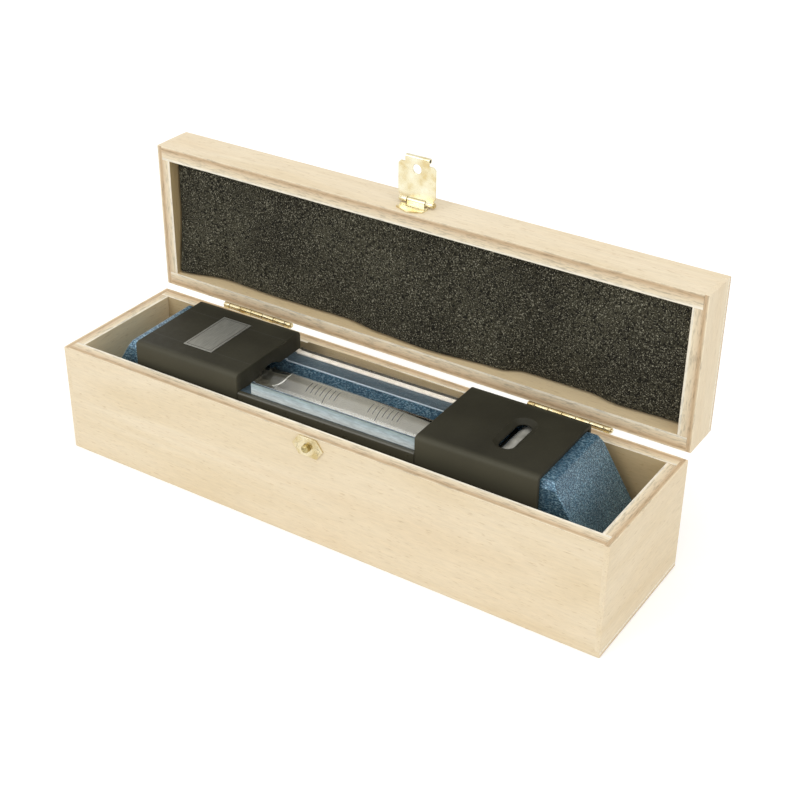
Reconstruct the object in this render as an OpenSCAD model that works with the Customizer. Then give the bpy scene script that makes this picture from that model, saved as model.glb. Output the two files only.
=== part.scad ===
// Precision spirit level lying in its hinged wooden case, with the lid open.
// The origin is the centre of the case's underside, +X runs along the level and +Z is up.

/* [Wooden case] */
// Outside length of the case
case_l = 224; // [218:1:240]
// Outside width of the case
case_w = 57.9; // [56:0.1:64]
// Height of the base, from its underside to its rim
base_h = 43.4; // [40:0.1:48]
// Depth of the lid, from its rim to its outer face
lid_h = 16.8; // [14:0.1:24]
// Thickness of the side boards
board_t = 5.4; // [5:0.1:6]
// Thickness of the bottom and lid panels
panel_t = 2; // [1.5:0.1:3]
// Thickness of the end board's lip that covers the long boards' ends
lip_t = 1.9; // [1:0.1:3]
// Gap between the two rims when the lid is closed
rim_gap = 0.3; // [0.2:0.1:0.6]
// Thickness of the soft pad under the level
pad_t = 2.7; // [2:0.1:3]
// Distance from the lid's rim to the face of its foam
foam_recess = 4; // [3:0.1:6]

/* [Lid hinges] */
// Distance of each hinge's middle from the middle of the case
hinge_x = 67.3; // [40:0.1:80]
// Distance of the pin's axis behind the back boards
pin_back = 1.4; // [1.4:0.05:2]
// Height of the pin's axis over the base's rim
pin_up = 0.6; // [0.5:0.05:0.8]
// Outer radius of the knuckles
knuckle_r = 1.25; // [1:0.05:1.3]
// Radius of the hinge pins and the hasp pin
pin_r = 0.5; // [0.4:0.05:0.6]
// Thickness of the hinge leaves
leaf_t = 0.5; // [0.3:0.1:0.6]
// Width of a hinge leaf on its board
leaf_l = 6; // [4:0.5:8]
// Length of a full knuckle
knuckle_l = 5.3; // [4:0.1:6]
// Length of the two short knuckles at the ends of a hinge
end_knuckle_l = 2.7; // [2:0.1:4]

/* [Hasp and catch] */
// Place of the hasp and the catch along the case
latch_x = -0.45; // [-20:0.05:20]
// Height of the hasp's pin over the lid's rim
hasp_up = 7.75; // [7:0.05:9]
// Distance of the hasp's pin from the lid's front face
hasp_proud = 1.4; // [1.4:0.05:2]
// Width of the flap
flap_w = 15.2; // [12:0.1:18]
// Distance from the hasp's pin to the shoulder where the flap narrows
flap_l = 14.1; // [14:0.1:15]
// Width of the rolled lip
lip_w = 9.7; // [8:0.1:12]
// Distance from the hasp's pin to the axis of the rolled lip
roll_u = 15.7; // [15.4:0.1:17]
// Thickness of the sheet brass
sheet_t = 0.6; // [0.4:0.1:0.6]
// Distance from the hasp's pin to the hole in the flap
flap_hole_u = 12.1; // [11.5:0.1:12.2]
// Radius of the hole in the flap
flap_hole_r = 1.75; // [1.7:0.05:2]
// Radius of the catch stud
stud_r = 1.45; // [1.2:0.05:1.5]

/* [Level] */
// Length of the level
level_l = 200; // [196:1:202]
// Width of the level's lower body and covers
level_w = 39; // [38:0.1:40]
// Height of the level, from its sole to the top of its covers
level_h = 46.2; // [46.2:0.1:47]
// Turn of the level in the case, as it was laid down
level_yaw = 1.15; // [0:0.05:1.5]
// Middle of the level along the case
level_x = -1.2; // [-2:0.1:2]
// Middle of the level across the case
level_y = -0.5; // [-0.6:0.1:0.6]
// Height where the body steps in under the covers
shoulder_z = 22; // [20:0.5:24]
// Length of the body's top, between its sloped ends
top_l = 172; // [168:1:176]
// Height of the body's top under the window
strip_z = 38.6; // [38:0.1:39]
// Width of the V groove in the sole
groove_w = 20; // [16:1:22]
// Angle between the sides of the V groove
groove_angle = 120; // [110:1:140]

/* [Covers, rails and window] */
// Length of one cover
cover_l = 45.5; // [42:0.5:48]
// Distance from the middle of the level to a cover's inner end
cover_x = 36.4; // [34:0.1:38]
// Wall of the covers
cover_t = 1.8; // [1.8:0.1:2]
// Radius of the covers' long top edges
cover_edge_r = 1.6; // [1:0.1:1.7]
// Width of the clear window
window_w = 35.2; // [34:0.1:35.2]
// Wall of the clear window
window_t = 1.2; // [1:0.1:2.5]
// Height of the window's top over the sole
window_z = 43.9; // [43:0.1:46]
// Bare stretch between the left cover and the window
window_start = 4.9; // [2:0.1:8]
// Height of the rails' top over the sole
rail_z = 39.5; // [38.6:0.1:40]
// Width of the seals under the window's sides
seal_w = 2; // [1.5:0.1:3]
// Thickness of the seals
seal_t = 0.8; // [0.4:0.1:1]

/* [Vials] */
// Outer radius of the main vial
vial_r = 7.75; // [7:0.05:8]
// Wall of the main vial
vial_wall = 1.15; // [1:0.05:1.5]
// Length of the main vial
vial_l = 100; // [96:1:102]
// Height of the main vial's axis over the sole
vial_z = 31.3; // [31:0.1:31.5]
// Height of the bubble's underside over the main vial's axis
main_water_z = 3.6; // [3:0.1:4.5]
// Length of the main bubble
bubble_l = 19; // [15:1:30]
// Outer radius of the cross vial
cross_r = 4.4; // [4:0.1:4.6]
// Wall of the cross vial
cross_wall = 0.9; // [0.7:0.1:1]
// Length of the cross vial
cross_l = 24; // [22:1:25]
// Place of the cross vial along the level
cross_x = 63.5; // [63:0.1:65]
// Height of the cross vial's axis over the sole
cross_z = 38.4; // [38:0.1:39]
// Length of the cross bubble
cross_bubble_l = 7; // [5:0.5:8]

/* [Vial adjustment] */
// Place of the carrier's pivot along the level
pivot_x = 46; // [44:1:48]
// Height of the carrier's pivot over the sole
pivot_z = 21.4; // [21.2:0.1:21.6]
// Place of the adjusting screw along the level
screw_x = -60; // [-62:1:-58]
// Radius of the adjusting screw's thread
screw_r = 2; // [1.5:0.1:2]
// Wire radius of the carrier's spring
wire_r = 0.4; // [0.3:0.05:0.45]
// Turns of the carrier's spring
spring_turns = 5; // [3:1:6]

/* [Hidden] */
$fn = 64;
eps = 0.01;

wood = "burlywood";
brass = "goldenrod";
black = "dimgray";
blue = "steelblue";

back_y = case_w / 2;
front_y = -case_w / 2;
inner_l = case_l - 2 * board_t;
inner_w = case_w - 2 * board_t;
base_board_h = base_h - panel_t;
lid_board_h = lid_h - panel_t;
lid_rim_z = base_h + rim_gap;
axis_y = back_y + pin_back;
axis_z = base_h + pin_up;
lid_angle = 90;

full_knuckles = 5;
hinge_l = full_knuckles * knuckle_l + 2 * end_knuckle_l;
leaf_from = knuckle_r + 0.3;
knuckle_play = 0.25;
bore_play = 0.05;
nail_r = 0.6;
nail_head_r = 1.1;
nail_l = 4;
nail_up = leaf_from + leaf_l * 0.6;
nail_hole_play = 0.02;

hasp_y = front_y - hasp_proud;
hasp_z = lid_rim_z + hasp_up;
barrel_r = 1.1;
barrel_l = 13.9;
plate_knuckle_l = 7.2;
flap_inner = 0.5;
flap_outer = sheet_t - flap_inner;
roll_r = 1;
stud_z = hasp_z - flap_hole_u;
catch_points = [[3.6, 3.75], [6.35, 0], [3.6, -3.75], [-3.6, -3.75], [-6.35, 0], [-3.6, 3.75]];
catch_nail_x = 4.6;

level_z = panel_t + pad_t + 0.3;
half_w = level_w / 2;
upper_half_w = half_w - cover_t - 0.1;
body_top_z = level_h - cover_t - 0.05;
cut_x = cover_x + cover_t + 0.1;
trough_half_w = 9.7;
trough_z = 19;
trough_left = -68;
trough_right = 54;
pocket_half_l = 6.5;
pocket_half_w = 13.5;
pocket_z = 31;
side_screw_z = 28;
side_screw_r = 1.5;
side_screw_head_r = 2.6;
side_screw_l = 7;
cover_screw_x = [44, 74];
rail_screw_x = [-24, 24];
slot_l = 17;
slot_w = 5.4;
slot_bevel = 2.1;
arch_r = 9.9;
arch_z = vial_z;
label_l = 24;
label_w = 12.5;
label_x = -60;
label_t = 0.25;

bore_r = vial_r - vial_wall;
plug_l = 3;
cavity_l = vial_l - 2 * plug_l;
bubble_play = 0.08;
cross_bore_r = cross_r - cross_wall;
cross_water_z = 1.6;
cross_plug_l = 2.5;
cross_cavity_l = cross_l - 2 * cross_plug_l;

carrier_right = 52;
carrier_step = -52;
carrier_left = -66;
carrier_half_w = 7.8;
carrier_z = 19.6;
carrier_top_z = 26;
tab_z = 23;
cradle_r = vial_r + 0.5;
head_z = 34;
journal_r = 1.5;
collar_r = 2.9;
retainer_top_z = 21.3;
retainer_screw_y = 6;
spring_r = 2.9;

// Placing

module lid_place() {
    translate([0, axis_y, axis_z])
        rotate([-lid_angle, 0, 0])
            translate([0, -axis_y, -axis_z])
                children();
}

module hasp_place() {
    lid_place()
        translate([latch_x, hasp_y, hasp_z])
            children();
}

module level_place() {
    translate([level_x, level_y, level_z])
        rotate([0, 0, level_yaw])
            children();
}

module along_x(length, radius) {
    translate([-length / 2, 0, 0])
        rotate([0, 90, 0])
            cylinder(h = length, r = radius);
}

module along_y(length, radius) {
    translate([0, length / 2, 0])
        rotate([90, 0, 0])
            cylinder(h = length, r = radius);
}

module centred_box(x, y, z) {
    translate([-x / 2, -y / 2, 0])
        cube([x, y, z]);
}

// Boards of the case and the lid

module long_board(height) {
    centred_box(case_l - 2 * lip_t, board_t, height);
}

// An end board's lip laps over the ends of the long boards.
module end_board(height) {
    translate([lip_t / 2, 0, 0])
        centred_box(lip_t, case_w, height);
    translate([lip_t + (board_t - lip_t) / 2, 0, 0])
        centred_box(board_t - lip_t, inner_w, height);
}

module case_bottom_panel() {
    color(wood)
        centred_box(case_l, case_w, panel_t);
}

module case_front_board() {
    color(wood)
        difference() {
            translate([0, front_y + board_t / 2, panel_t])
                long_board(base_board_h);
            catch_place() {
                catch_stud_shank(nail_hole_play);
                catch_nail_shanks(nail_hole_play);
            }
        }
}

module case_back_board() {
    color(wood)
        difference() {
            translate([0, back_y - board_t / 2, panel_t])
                long_board(base_board_h);
            for (side = [-1, 1])
                hinge_place(side * hinge_x)
                    mirror([0, 0, 1])
                        nail_shanks(nail_hole_play);
        }
}

module case_left_board() {
    color(wood)
        translate([-case_l / 2, 0, panel_t])
            end_board(base_board_h);
}

module case_right_board() {
    color(wood)
        mirror([1, 0, 0])
            translate([-case_l / 2, 0, panel_t])
                end_board(base_board_h);
}

module base_pad() {
    color(black)
        translate([0, 0, panel_t])
            centred_box(inner_l - 1, inner_w - 1, pad_t);
}

module lid_top_panel() {
    color(wood)
        lid_place()
            translate([0, 0, lid_rim_z + lid_board_h])
                centred_box(case_l, case_w, panel_t);
}

module lid_front_board() {
    color(wood)
        lid_place()
            difference() {
                translate([0, front_y + board_t / 2, lid_rim_z])
                    long_board(lid_board_h);
                translate([latch_x, hasp_y, hasp_z])
                    hasp_nail_shanks(nail_hole_play);
            }
}

module lid_back_board() {
    color(wood)
        lid_place()
            difference() {
                translate([0, back_y - board_t / 2, lid_rim_z])
                    long_board(lid_board_h);
                for (side = [-1, 1])
                    hinge_place(side * hinge_x)
                        nail_shanks(nail_hole_play);
            }
}

module lid_left_board() {
    color(wood)
        lid_place()
            translate([-case_l / 2, 0, lid_rim_z])
                end_board(lid_board_h);
}

module lid_right_board() {
    color(wood)
        lid_place()
            mirror([1, 0, 0])
                translate([-case_l / 2, 0, lid_rim_z])
                    end_board(lid_board_h);
}

module lid_foam() {
    color(black)
        lid_place()
            translate([0, 0, lid_rim_z + foam_recess])
                centred_box(inner_l - 0.4, inner_w - 0.4, lid_board_h - foam_recess);
}

// Lid hinges, drawn about the pin with the lid closed

module hinge_place(x) {
    translate([x, axis_y, axis_z])
        children();
}

// Left edge of knuckle number i, counted from 0
function knuckle_start(i) = i == 0 ? 0 : end_knuckle_l + (i - 1) * knuckle_l;
function knuckle_end(i) = i > full_knuckles ? hinge_l : end_knuckle_l + i * knuckle_l;

// A leaf lies flat on the back board's outer face, above the pin, and its tabs run into its knuckles
module hinge_leaf(numbers) {
    tab_from = 0.35;
    color(brass)
        difference() {
            union() {
                translate([-hinge_l / 2, -pin_back, leaf_from])
                    cube([hinge_l, leaf_t, leaf_l]);
                for (i = numbers) {
                    start = -hinge_l / 2 + knuckle_start(i) + knuckle_play / 2;
                    length = knuckle_end(i) - knuckle_start(i) - knuckle_play;
                    translate([start, -pin_back, tab_from])
                        cube([length, leaf_t, leaf_from - tab_from + eps]);
                    translate([start + length / 2, 0, 0])
                        along_x(length, knuckle_r);
                }
            }
            along_x(hinge_l + 2, pin_r + bore_play);
            nail_shanks(nail_hole_play);
            nail_heads(nail_hole_play);
        }
}

nail_spots = [-11, 0, 11];

// The nails go through a leaf into its board
module nail_shanks(play) {
    for (x = nail_spots)
        translate([x, leaf_t - pin_back, nail_up])
            rotate([90, 0, 0])
                cylinder(h = nail_l, r = nail_r + play, $fn = 24);
}

module nail_heads(play) {
    for (x = nail_spots)
        translate([x, leaf_t - pin_back + play, nail_up])
            rotate([90, 0, 0])
                cylinder(h = leaf_t, r1 = nail_head_r + play, r2 = nail_r + play, $fn = 24);
}

module hinge_base_leaf() {
    mirror([0, 0, 1])
        hinge_leaf([0, 2, 4, 6]);
}

module hinge_lid_leaf() {
    hinge_leaf([1, 3, 5]);
}

module left_hinge_base_leaf() {
    hinge_place(-hinge_x)
        hinge_base_leaf();
}

module right_hinge_base_leaf() {
    hinge_place(hinge_x)
        hinge_base_leaf();
}

module left_hinge_lid_leaf() {
    lid_place()
        hinge_place(-hinge_x)
            hinge_lid_leaf();
}

module right_hinge_lid_leaf() {
    lid_place()
        hinge_place(hinge_x)
            hinge_lid_leaf();
}

// The pin's peened ends keep it in the knuckles.
module peened_pin(length, end_r) {
    color(brass) {
        along_x(length + 0.2, pin_r);
        for (side = [-1, 1])
            translate([side * (length / 2 + 0.2), 0, 0])
                along_x(0.3, end_r);
    }
}

module left_hinge_pin() {
    hinge_place(-hinge_x)
        peened_pin(hinge_l, 0.8);
}

module right_hinge_pin() {
    hinge_place(hinge_x)
        peened_pin(hinge_l, 0.8);
}

module hinge_base_nails() {
    color(brass)
        for (side = [-1, 1])
            hinge_place(side * hinge_x)
                mirror([0, 0, 1]) {
                    nail_shanks(0);
                    nail_heads(0);
                }
}

module hinge_lid_nails() {
    color(brass)
        lid_place()
            for (side = [-1, 1])
                hinge_place(side * hinge_x) {
                    nail_shanks(0);
                    nail_heads(0);
                }
}

// Catch on the base, drawn with +Z away from the front board

module catch_place() {
    translate([latch_x, front_y, stud_z])
        rotate([90, 0, 0])
            children();
}

module catch_stud_shank(play) {
    translate([0, 0, -4])
        cylinder(h = 6.2, r = stud_r + play);
}

module catch_nail_shanks(play) {
    for (x = [-catch_nail_x, catch_nail_x])
        translate([x, 0, -nail_l])
            cylinder(h = nail_l + sheet_t, r = 0.5 + play, $fn = 24);
}

module catch_plate() {
    color(brass)
        catch_place()
            difference() {
                union() {
                    linear_extrude(sheet_t)
                        polygon(catch_points);
                    cylinder(h = 0.8, r = 3.2);
                }
                catch_stud_shank(nail_hole_play);
                catch_nail_shanks(nail_hole_play);
            }
}

module catch_stud() {
    color(brass)
        catch_place() {
            catch_stud_shank(0);
            translate([0, 0, 2.2])
                cylinder(h = 0.6, r1 = stud_r, r2 = stud_r - 0.6);
        }
}

module catch_nails() {
    color(brass)
        catch_place()
            catch_nail_shanks(0);
}

// Hasp on the lid, drawn about its pin, with the flap standing straight out of the closed lid along -Y

module hasp_nail_shanks(play) {
    for (x = [-4, 4])
        translate([x, hasp_proud, -3.4])
            rotate([90, 0, 0])
                translate([0, 0, -nail_l])
                    cylinder(h = nail_l + sheet_t, r = 0.5 + play, $fn = 24);
}

module hasp_plate() {
    neck = plate_knuckle_l / 2;
    color(brass)
        hasp_place()
            difference() {
                union() {
                    translate([0, hasp_proud, 0])
                        rotate([90, 0, 0])
                            linear_extrude(sheet_t)
                                polygon([[-neck, barrel_r], [neck, barrel_r], [neck, -1.6], [5.4, -1.6],
                                    [5.4, -5.2], [0, -hasp_up + 0.3], [-5.4, -5.2], [-5.4, -1.6],
                                    [-neck, -1.6]]);
                    along_x(plate_knuckle_l, barrel_r);
                    translate([-neck, 0, -barrel_r])
                        cube([plate_knuckle_l, hasp_proud - eps, barrel_r]);
                }
                along_x(barrel_l, pin_r + bore_play);
                hasp_nail_shanks(nail_hole_play);
            }
}

module hasp_nails() {
    color(brass)
        hasp_place()
            hasp_nail_shanks(0);
}

module hasp_pin() {
    hasp_place()
        peened_pin(barrel_l, 0.8);
}

module hasp_flap() {
    side_l = (barrel_l - plate_knuckle_l) / 2 - knuckle_play;
    leaf_start = barrel_r + 0.3;
    color(brass)
        hasp_place()
            difference() {
                union() {
                    translate([0, 0, -flap_inner])
                        linear_extrude(sheet_t)
                            polygon([[1 - flap_w / 2, -leaf_start], [-flap_w / 2, -leaf_start - 1],
                                [-flap_w / 2, 1 - flap_l], [1 - flap_w / 2, -flap_l],
                                [-lip_w / 2, -flap_l], [-lip_w / 2, -roll_u],
                                [lip_w / 2, -roll_u], [lip_w / 2, -flap_l],
                                [flap_w / 2 - 1, -flap_l], [flap_w / 2, 1 - flap_l],
                                [flap_w / 2, -leaf_start - 1], [flap_w / 2 - 1, -leaf_start]]);
                    translate([0, -roll_u, roll_r - flap_inner])
                        along_x(lip_w, roll_r);
                    for (side = [-1, 1])
                        translate([side * (barrel_l - side_l) / 2, 0, 0]) {
                            along_x(side_l, barrel_r);
                            translate([-side_l / 2, -leaf_start - eps, -flap_inner])
                                cube([side_l, leaf_start, sheet_t]);
                        }
                }
                along_x(barrel_l + 2, pin_r + bore_play);
                translate([0, -roll_u, roll_r - flap_inner])
                    along_x(lip_w + 2, roll_r - 0.45);
                translate([0, -flap_hole_u, -1])
                    cylinder(h = 2, r = flap_hole_r);
            }
}

// Level, drawn with its sole at z = 0 and its middle at x = 0

module side_profile() {
    slope_x = top_l / 2;
    rotate([90, 0, 0])
        translate([0, 0, -half_w - 1])
            linear_extrude(level_w + 2)
                polygon([[-level_l / 2, 0], [level_l / 2, 0], [level_l / 2, shoulder_z],
                    [slope_x, body_top_z], [-slope_x, body_top_z], [-level_l / 2, shoulder_z]]);
}

module cross_section() {
    depth = groove_w / 2 / tan(groove_angle / 2);
    edge_y = 1.3;
    edge_z = 2.6;
    bevel = 0.8;
    right = [[groove_w / 2, 0], [half_w - bevel, 0], [half_w, bevel], [half_w, shoulder_z - bevel],
        [half_w - bevel, shoulder_z], [upper_half_w, shoulder_z], [upper_half_w, body_top_z - edge_z],
        [upper_half_w - edge_y, body_top_z]];
    left = [for (i = [len(right) - 1 : -1 : 0]) [-right[i][0], right[i][1]]];
    rotate([90, 0, 90])
        translate([0, 0, -level_l / 2])
            linear_extrude(level_l)
                difference() {
                    polygon(concat(right, left, [[-1.2, depth - 0.7], [-1.2, depth + 0.8],
                        [1.2, depth + 0.8], [1.2, depth - 0.7]]));
                }
}

module side_screws(places, play) {
    for (x = places, side = [-1, 1])
        translate([x, side * half_w, side_screw_z])
            rotate([side * 90, 0, 0]) {
                cylinder(h = side_screw_l, r = side_screw_r + play, $fn = 32);
                translate([0, 0, -play])
                    cylinder(h = 1.1, r1 = side_screw_head_r + play, r2 = side_screw_r + play, $fn = 32);
            }
}

cover_places = [-cover_screw_x[1], -cover_screw_x[0], cover_screw_x[0], cover_screw_x[1]];

module level_body() {
    color(blue)
        level_place()
            difference() {
                intersection() {
                    side_profile();
                    cross_section();
                }
                translate([0, 0, strip_z])
                    centred_box(2 * cut_x, level_w, level_h);
                translate([trough_left, -trough_half_w, trough_z])
                    cube([trough_right - trough_left, 2 * trough_half_w, level_h]);
                translate([cross_x, 0, pocket_z])
                    centred_box(2 * pocket_half_l, 2 * pocket_half_w, level_h);
                translate([pivot_x, 1.5, pivot_z])
                    along_y(33, pin_r * 2 + nail_hole_play);
                translate([screw_x, 0, trough_z - 7.2])
                    cylinder(h = 8, r = journal_r + bore_play);
                for (side = [-1, 1])
                    translate([screw_x, side * retainer_screw_y, trough_z - 5])
                        cylinder(h = 6, r = 1.25 + nail_hole_play, $fn = 32);
                side_screws(cover_places, nail_hole_play);
                side_screws(rail_screw_x, nail_hole_play);
            }
}

// Cross-section of a cover, with rounded long top edges
module cover_outline(z_low) {
    r = cover_edge_r;
    translate([-half_w, z_low])
        square([level_w, level_h - r - z_low]);
    translate([r - half_w, z_low])
        square([level_w - 2 * r, level_h - z_low]);
    for (side = [-1, 1])
        translate([side * (half_w - r), level_h - r])
            circle(r = r);
}

module extrude_x(start, length) {
    translate([start, 0, 0])
        rotate([90, 0, 90])
            linear_extrude(length)
                children();
}

// A cover runs from cover_x outwards, with an end wall whose arch lets the vial through
module cover(side) {
    inner = half_w - cover_t;
    skirt_z = shoulder_z + 0.2;
    mirror([side < 0 ? 1 : 0, 0, 0])
        difference() {
            extrude_x(cover_x, cover_l)
                cover_outline(skirt_z);
            extrude_x(cover_x + cover_t, cover_l)
                translate([-inner, 0])
                    square([2 * inner, body_top_z + 0.05]);
            extrude_x(cover_x - 1, cover_t + 2) {
                translate([-inner, 0])
                    square([2 * inner, strip_z + 0.1]);
                translate([0, arch_z])
                    circle(r = arch_r);
            }
        }
}

module left_cover() {
    color(black)
        level_place()
            difference() {
                cover(-1);
                side_screws(cover_places, nail_hole_play);
            }
}

module obround(length, width, height) {
    for (side = [-1, 1])
        translate([0, side * (length - width) / 2, 0])
            cylinder(h = height, r = width / 2);
    centred_box(width, length - width, height);
}

// The reading slot's recess narrows downwards to the slot
module slot_recess() {
    depth = cover_t * 0.7;
    top = slot_w / 2 + slot_bevel;
    straight = slot_l - slot_w;
    for (side = [-1, 1])
        translate([0, side * straight / 2, level_h - depth])
            cylinder(h = depth + eps, r1 = slot_w / 2, r2 = top);
    translate([0, straight / 2, level_h - depth])
        rotate([90, 0, 0])
            linear_extrude(straight)
                polygon([[-slot_w / 2, 0], [slot_w / 2, 0], [top, depth + eps], [-top, depth + eps]]);
}

module right_cover() {
    color(black)
        level_place()
            difference() {
                cover(1);
                side_screws(cover_places, nail_hole_play);
                translate([cross_x, 0, 0]) {
                    translate([0, 0, level_h - 2 * cover_t])
                        obround(slot_l, slot_w, 3 * cover_t);
                    slot_recess();
                }
            }
}

// A rail fills the side between the covers, under the window
module rail(side) {
    thickness = half_w - upper_half_w - 0.15;
    r = 0.8;
    low = shoulder_z + 0.2;
    length = 2 * cover_x - 0.2;
    color(black)
        level_place()
            mirror([0, side < 0 ? 1 : 0, 0])
                difference() {
                    extrude_x(-length / 2, length) {
                        translate([half_w - thickness, low])
                            square([thickness, rail_z - r - low]);
                        translate([half_w - thickness, low])
                            square([thickness - r, rail_z - low]);
                        translate([half_w - r, rail_z - r])
                            circle(r = r);
                    }
                    side_screws(rail_screw_x, nail_hole_play);
                }
}

module front_rail() {
    rail(-1);
}

module rear_rail() {
    rail(1);
}

module driver_slots(places) {
    for (x = places, side = [-1, 1])
        translate([x, side * half_w, side_screw_z])
            cube([4, 0.8, 0.7], center = true);
}

module cover_screws() {
    color("silver")
        level_place()
            difference() {
                side_screws(cover_places, 0);
                driver_slots(cover_places);
            }
}

module rail_screws() {
    color("silver")
        level_place()
            difference() {
                side_screws(rail_screw_x, 0);
                driver_slots(rail_screw_x);
            }
}

// A strip of seal runs from cover to cover under each side of the window
module window_seal(side) {
    length = 2 * cover_x - 0.2;
    color("ivory")
        level_place()
            translate([-length / 2, side * (window_w - seal_w) / 2 - seal_w / 2, strip_z + 0.02])
                cube([length, seal_w, seal_t]);
}

module front_window_seal() {
    window_seal(-1);
}

module rear_window_seal() {
    window_seal(1);
}

module window() {
    start = -cover_x + window_start;
    length = cover_x - 0.1 - start;
    low = strip_z + seal_t + 0.05;
    color("lightblue")
        level_place()
            difference() {
                translate([start, -window_w / 2, low])
                    cube([length, window_w, window_z - low]);
                translate([start - 1, window_t - window_w / 2, 0])
                    cube([length + 2, window_w - 2 * window_t, window_z - window_t]);
            }
}

module label_plate() {
    color("silver")
        level_place()
            translate([label_x, 0.7, level_h])
                centred_box(label_w, label_l, label_t);
}

// Cross vial under the right cover's slot

module cross_place() {
    level_place()
        translate([cross_x, 0, cross_z])
            children();
}

module cross_vial() {
    color("white")
        cross_place()
            difference() {
                along_y(cross_l, cross_r);
                along_y(cross_l + 2, cross_bore_r);
            }
}

module cross_vial_liquid() {
    color("palegreen")
        cross_place()
            difference() {
                along_y(cross_cavity_l - 0.1, cross_bore_r - 0.03);
                translate([0, 0, cross_water_z])
                    centred_box(2 * cross_r, cross_l, cross_r);
            }
}

module cross_vial_plugs() {
    color("white")
        cross_place()
            for (side = [-1, 1])
                translate([0, side * (cross_l - cross_plug_l) / 2, 0])
                    along_y(cross_plug_l, cross_bore_r - 0.02);
}

module cross_vial_saddle() {
    color(black)
        level_place()
            difference() {
                translate([cross_x, 0, pocket_z])
                    centred_box(2 * pocket_half_l - 0.4, 2 * pocket_half_w - 0.4, cross_z - pocket_z);
                translate([cross_x, 0, cross_z])
                    along_y(cross_l + 10, cross_r + 0.02);
            }
}

module cross_bubble() {
    color("azure")
        cross_place()
            intersection() {
                along_y(cross_bubble_l, cross_bore_r - bubble_play);
                translate([0, 0, cross_water_z + bubble_play])
                    obround(cross_bubble_l, 6, cross_r);
            }
}

// Main vial in its carrier, which turns on a pin at one end and on the adjusting screw at the other

module vial_place() {
    level_place()
        translate([0, 0, vial_z])
            children();
}

module main_vial() {
    color("white")
        vial_place()
            difference() {
                along_x(vial_l, vial_r);
                along_x(vial_l + 2, bore_r);
            }
}

// The liquid leaves the whole track of the bubble free
module main_vial_liquid() {
    color("palegreen")
        vial_place()
            difference() {
                along_x(cavity_l - 0.1, bore_r - 0.03);
                translate([0, 0, main_water_z])
                    centred_box(vial_l, 2 * vial_r, vial_r);
            }
}

module vial_end_plugs() {
    color("white")
        vial_place()
            for (side = [-1, 1])
                translate([side * (vial_l - plug_l) / 2, 0, 0])
                    along_x(plug_l, bore_r - 0.02);
}

module main_bubble() {
    color("azure")
        vial_place()
            translate([(bubble_l - cavity_l) / 2 + 0.3, 0, 0])
                intersection() {
                    along_x(bubble_l, bore_r - bubble_play);
                    translate([0, 0, main_water_z + bubble_play])
                        rotate([0, 0, 90])
                            obround(bubble_l, 11, vial_r);
                }
}

module vial_carrier() {
    color("slategray")
        level_place()
            difference() {
                union() {
                    translate([carrier_step, -carrier_half_w, carrier_z])
                        cube([carrier_right - carrier_step, 2 * carrier_half_w, carrier_top_z - carrier_z]);
                    translate([carrier_left, -carrier_half_w, tab_z])
                        cube([carrier_step - carrier_left + 1, 2 * carrier_half_w, carrier_top_z - tab_z]);
                }
                translate([carrier_step + 1.5, 0, vial_z])
                    rotate([0, 90, 0])
                        cylinder(h = vial_l + 10, r = cradle_r);
                translate([pivot_x, 0, pivot_z])
                    along_y(level_w, pin_r * 2 + bore_play);
                translate([screw_x, 0, tab_z - 1])
                    cylinder(h = 5, r = screw_r + 2 * bore_play);
            }
}

// Two beds of cement hold the glass in the cradle
module vial_cement() {
    bed_l = 8;
    color("ivory")
        level_place()
            for (side = [-1, 1])
                translate([side * (vial_l / 2 - 8), 0, 0])
                    intersection() {
                        translate([0, 0, vial_z])
                            difference() {
                                along_x(bed_l, cradle_r - 0.02);
                                along_x(bed_l + 2, vial_r + 0.02);
                            }
                        centred_box(bed_l, 2 * carrier_half_w - 0.2, carrier_top_z);
                    }
}

module carrier_pivot_pin() {
    color("silver")
        level_place()
            translate([pivot_x, 0.5, pivot_z])
                along_y(30, pin_r * 2);
}

module adjusting_screw() {
    color("silver")
        level_place()
            translate([screw_x, 0, 0])
                difference() {
                    union() {
                        translate([0, 0, trough_z - 7])
                            cylinder(h = 8, r = journal_r);
                        translate([0, 0, trough_z + 0.05])
                            cylinder(h = 0.95, r = collar_r);
                        translate([0, 0, trough_z + 0.5])
                            cylinder(h = head_z - trough_z, r = screw_r);
                        translate([0, 0, head_z])
                            cylinder(h = 4, r = 3.4);
                    }
                    translate([0, 0, head_z + 1.6])
                        cylinder(h = 4, r = 1.45, $fn = 6);
                }
}

module screw_retainer() {
    color("silver")
        level_place()
            translate([screw_x, 0, trough_z])
                difference() {
                    centred_box(9, 17, retainer_top_z - trough_z);
                    translate([0, 0, -eps])
                        cylinder(h = 1.1, r = collar_r + 0.1);
                    cylinder(h = 5, r = screw_r + 0.15);
                    retainer_screw_pair(nail_hole_play);
                }
}

module retainer_screw_pair(play) {
    top = retainer_top_z - trough_z;
    for (side = [-1, 1])
        translate([0, side * retainer_screw_y, 0]) {
            translate([0, 0, -4.5])
                cylinder(h = top + 4.5, r = 1.25 + play, $fn = 32);
            translate([0, 0, top - 1])
                cylinder(h = 1 + eps, r1 = 1.25 + play, r2 = 2.2 + play, $fn = 32);
        }
}

module retainer_screws() {
    color("silver")
        level_place()
            translate([screw_x, 0, trough_z])
                retainer_screw_pair(0);
}

// One ring of the spring's wire, at turn t of the coil
function coil_ring(t, low, rise, sides) = [for (s = [0 : sides - 1])
    let (a = t * 360, b = s * 360 / sides, r = spring_r + wire_r * cos(b))
    [r * cos(a), r * sin(a), low + rise * t + wire_r * sin(b)]];

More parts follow.
